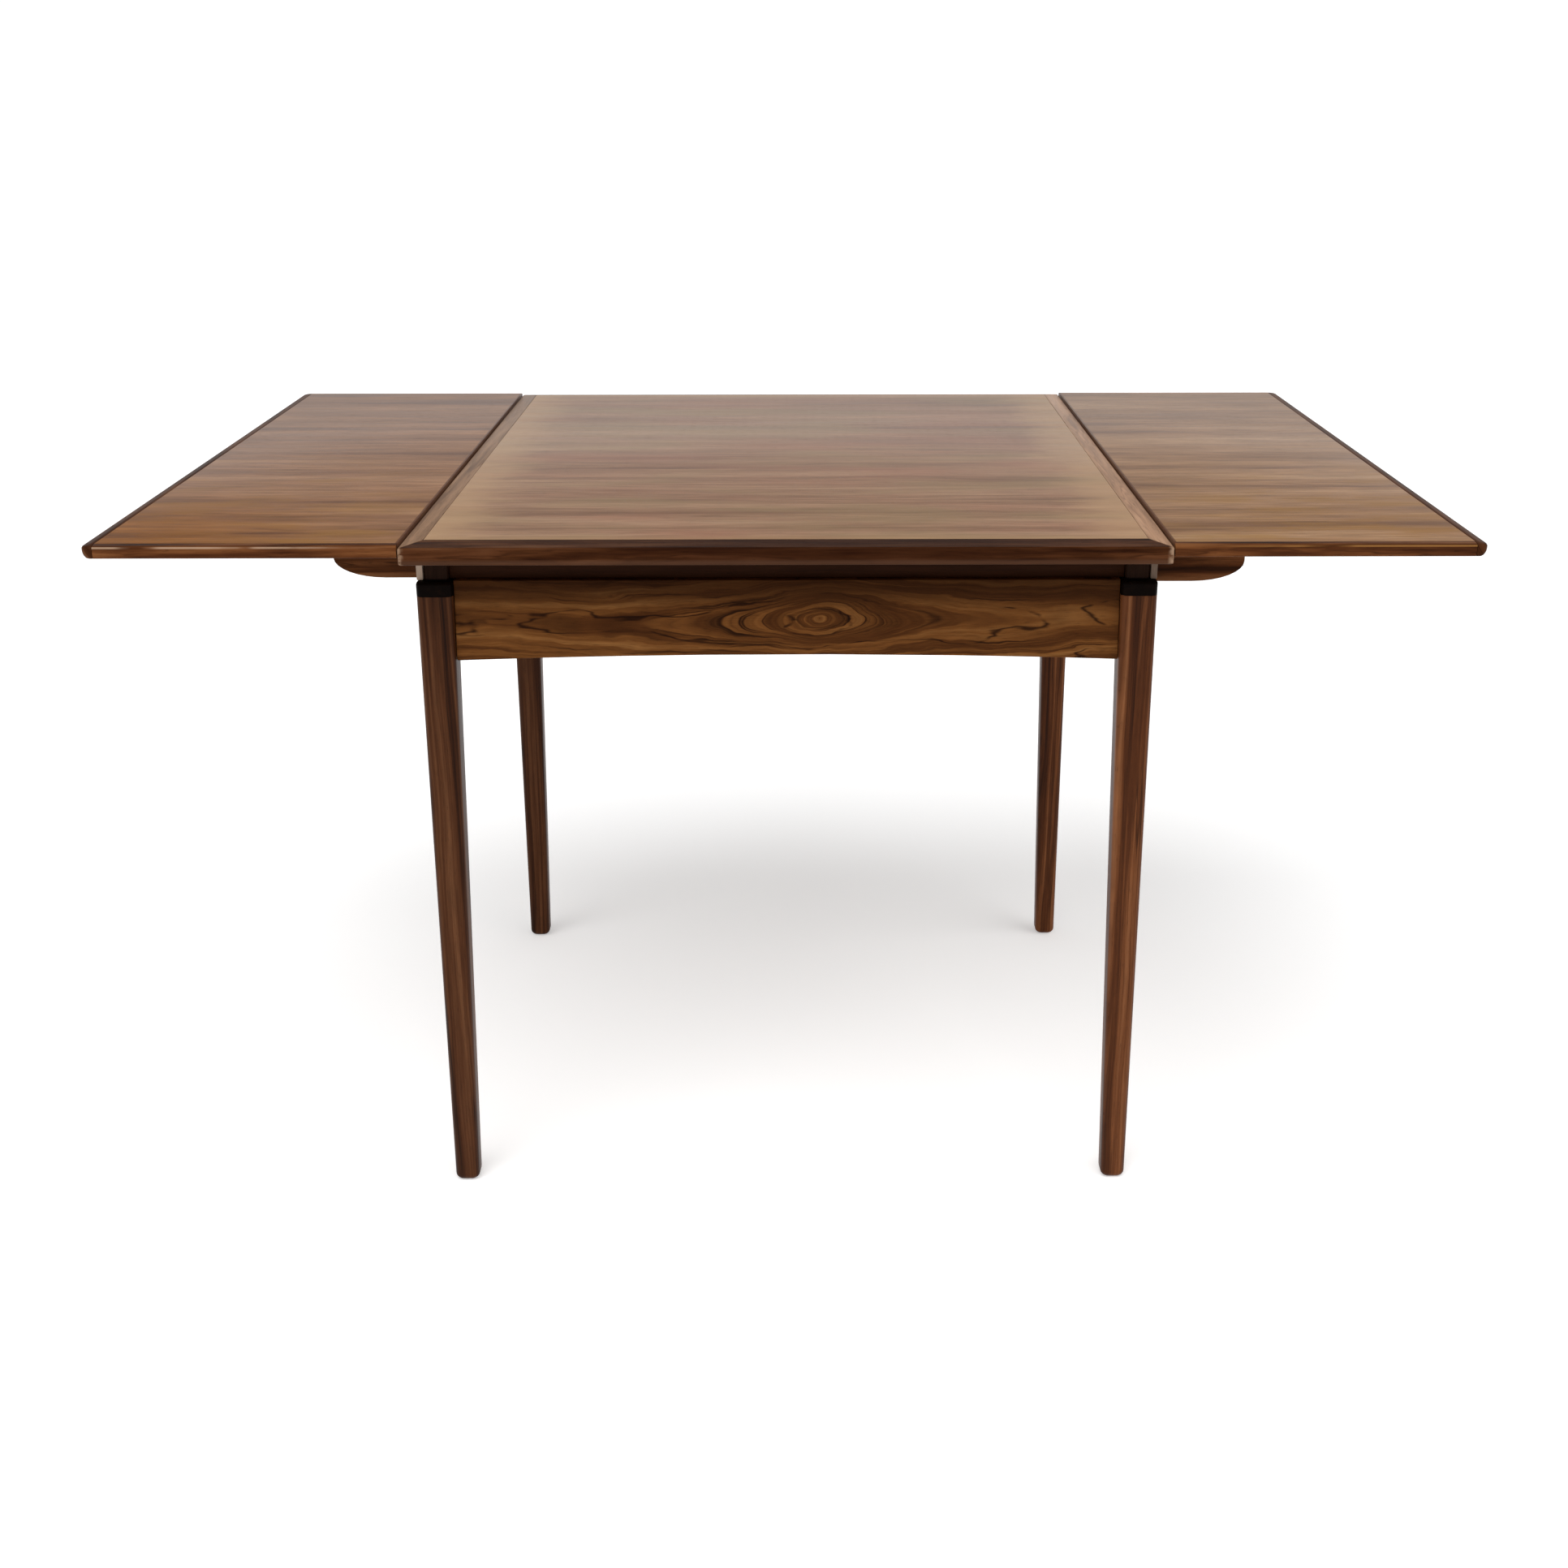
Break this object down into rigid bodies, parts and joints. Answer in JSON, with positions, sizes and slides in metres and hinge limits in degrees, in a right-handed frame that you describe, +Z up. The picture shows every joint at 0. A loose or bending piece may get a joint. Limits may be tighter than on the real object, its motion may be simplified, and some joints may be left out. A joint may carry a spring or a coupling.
{
  "type": "extending dining table",
  "caption": "Rosewood draw-leaf dining table: loose top on dark necks, tapered legs, and a leaf on runners at each end.",
  "frame": {"origin": "on the floor under the middle of the table, the bottom centre of its box", "axes": "+X from the left leaf to the right leaf, -Y the front, +Z up"},
  "size_m": [1.27, 0.8, 0.73],
  "materials": {
    "top_veneer": "satin oiled rosewood veneer, grain along X",
    "leaf_veneer": "satin oiled rosewood veneer, redder, grain along X",
    "rosewood_edging": "satin oiled solid rosewood, grain along each lip",
    "rosewood_frame": "satin oiled rosewood with dark figure",
    "dark_wood": "dark stained wood",
    "guide_wood": "plain sawn wood",
    "black_lacquer": "satin black lacquer on wood",
    "beech": "plain planed beech",
    "zinc_steel": "zinc plated steel"
  },
  "bodies": {
    "frame": {"apron_back": "rosewood_frame", "apron_front": "rosewood_frame", "apron_left": "rosewood_frame", "apron_right": "rosewood_frame", "centre_board": "beech", "corner_block_back_left": "beech", "corner_block_back_right": "beech", "corner_block_front_left": "beech", "corner_block_front_right": "beech", "corner_bolt_back_left": "zinc_steel", "corner_bolt_back_right": "zinc_steel", "corner_bolt_front_left": "zinc_steel", "corner_bolt_front_right": "zinc_steel", "guide_block_back_left": "guide_wood", "guide_block_back_right": "guide_wood", "guide_block_front_left": "guide_wood", "guide_block_front_right": "guide_wood", "leg_back_left": "rosewood_frame", "leg_back_right": "rosewood_frame", "leg_front_left": "rosewood_frame", "leg_front_right": "rosewood_frame", "neck_back_left": "black_lacquer", "neck_back_right": "black_lacquer", "neck_front_left": "black_lacquer", "neck_front_right": "black_lacquer", "rail_back": "dark_wood", "rail_front": "dark_wood", "rail_left": "dark_wood", "rail_right": "dark_wood"},
    "top": {"top_lip_back": "rosewood_edging", "top_lip_front": "rosewood_edging", "top_lip_left": "rosewood_edging", "top_lip_right": "rosewood_edging", "top_panel": "top_veneer", "top_peg_back": "beech", "top_peg_front": "beech"},
    "leaf_left": {"leaf_left_lip_back": "rosewood_edging", "leaf_left_lip_end": "rosewood_edging", "leaf_left_lip_front": "rosewood_edging", "leaf_left_panel": "leaf_veneer", "runner_left_back": "rosewood_frame", "runner_left_front": "rosewood_frame", "screw_left_back_inner": "zinc_steel", "screw_left_back_outer": "zinc_steel", "screw_left_front_inner": "zinc_steel", "screw_left_front_outer": "zinc_steel", "stop_peg_left_back": "beech", "stop_peg_left_front": "beech"},
    "leaf_right": {"leaf_right_lip_back": "rosewood_edging", "leaf_right_lip_end": "rosewood_edging", "leaf_right_lip_front": "rosewood_edging", "leaf_right_panel": "leaf_veneer", "runner_right_back": "rosewood_frame", "runner_right_front": "rosewood_frame", "screw_right_back_inner": "zinc_steel", "screw_right_back_outer": "zinc_steel", "screw_right_front_inner": "zinc_steel", "screw_right_front_outer": "zinc_steel", "stop_peg_right_back": "beech", "stop_peg_right_front": "beech"}
  },
  "joints": [
    {"name": "top_lift", "type": "slide", "parent": "frame", "child": "top", "axis": [0, 0, 1], "range_m": [0, 0.024]},
    {"name": "leaf_left_slide", "type": "slide", "parent": "frame", "child": "leaf_left", "axis": [-1, 0, 0], "range_m": [0, 0.008]},
    {"name": "leaf_right_slide", "type": "slide", "parent": "frame", "child": "leaf_right", "axis": [1, 0, 0], "range_m": [0, 0.008]}
  ]
}
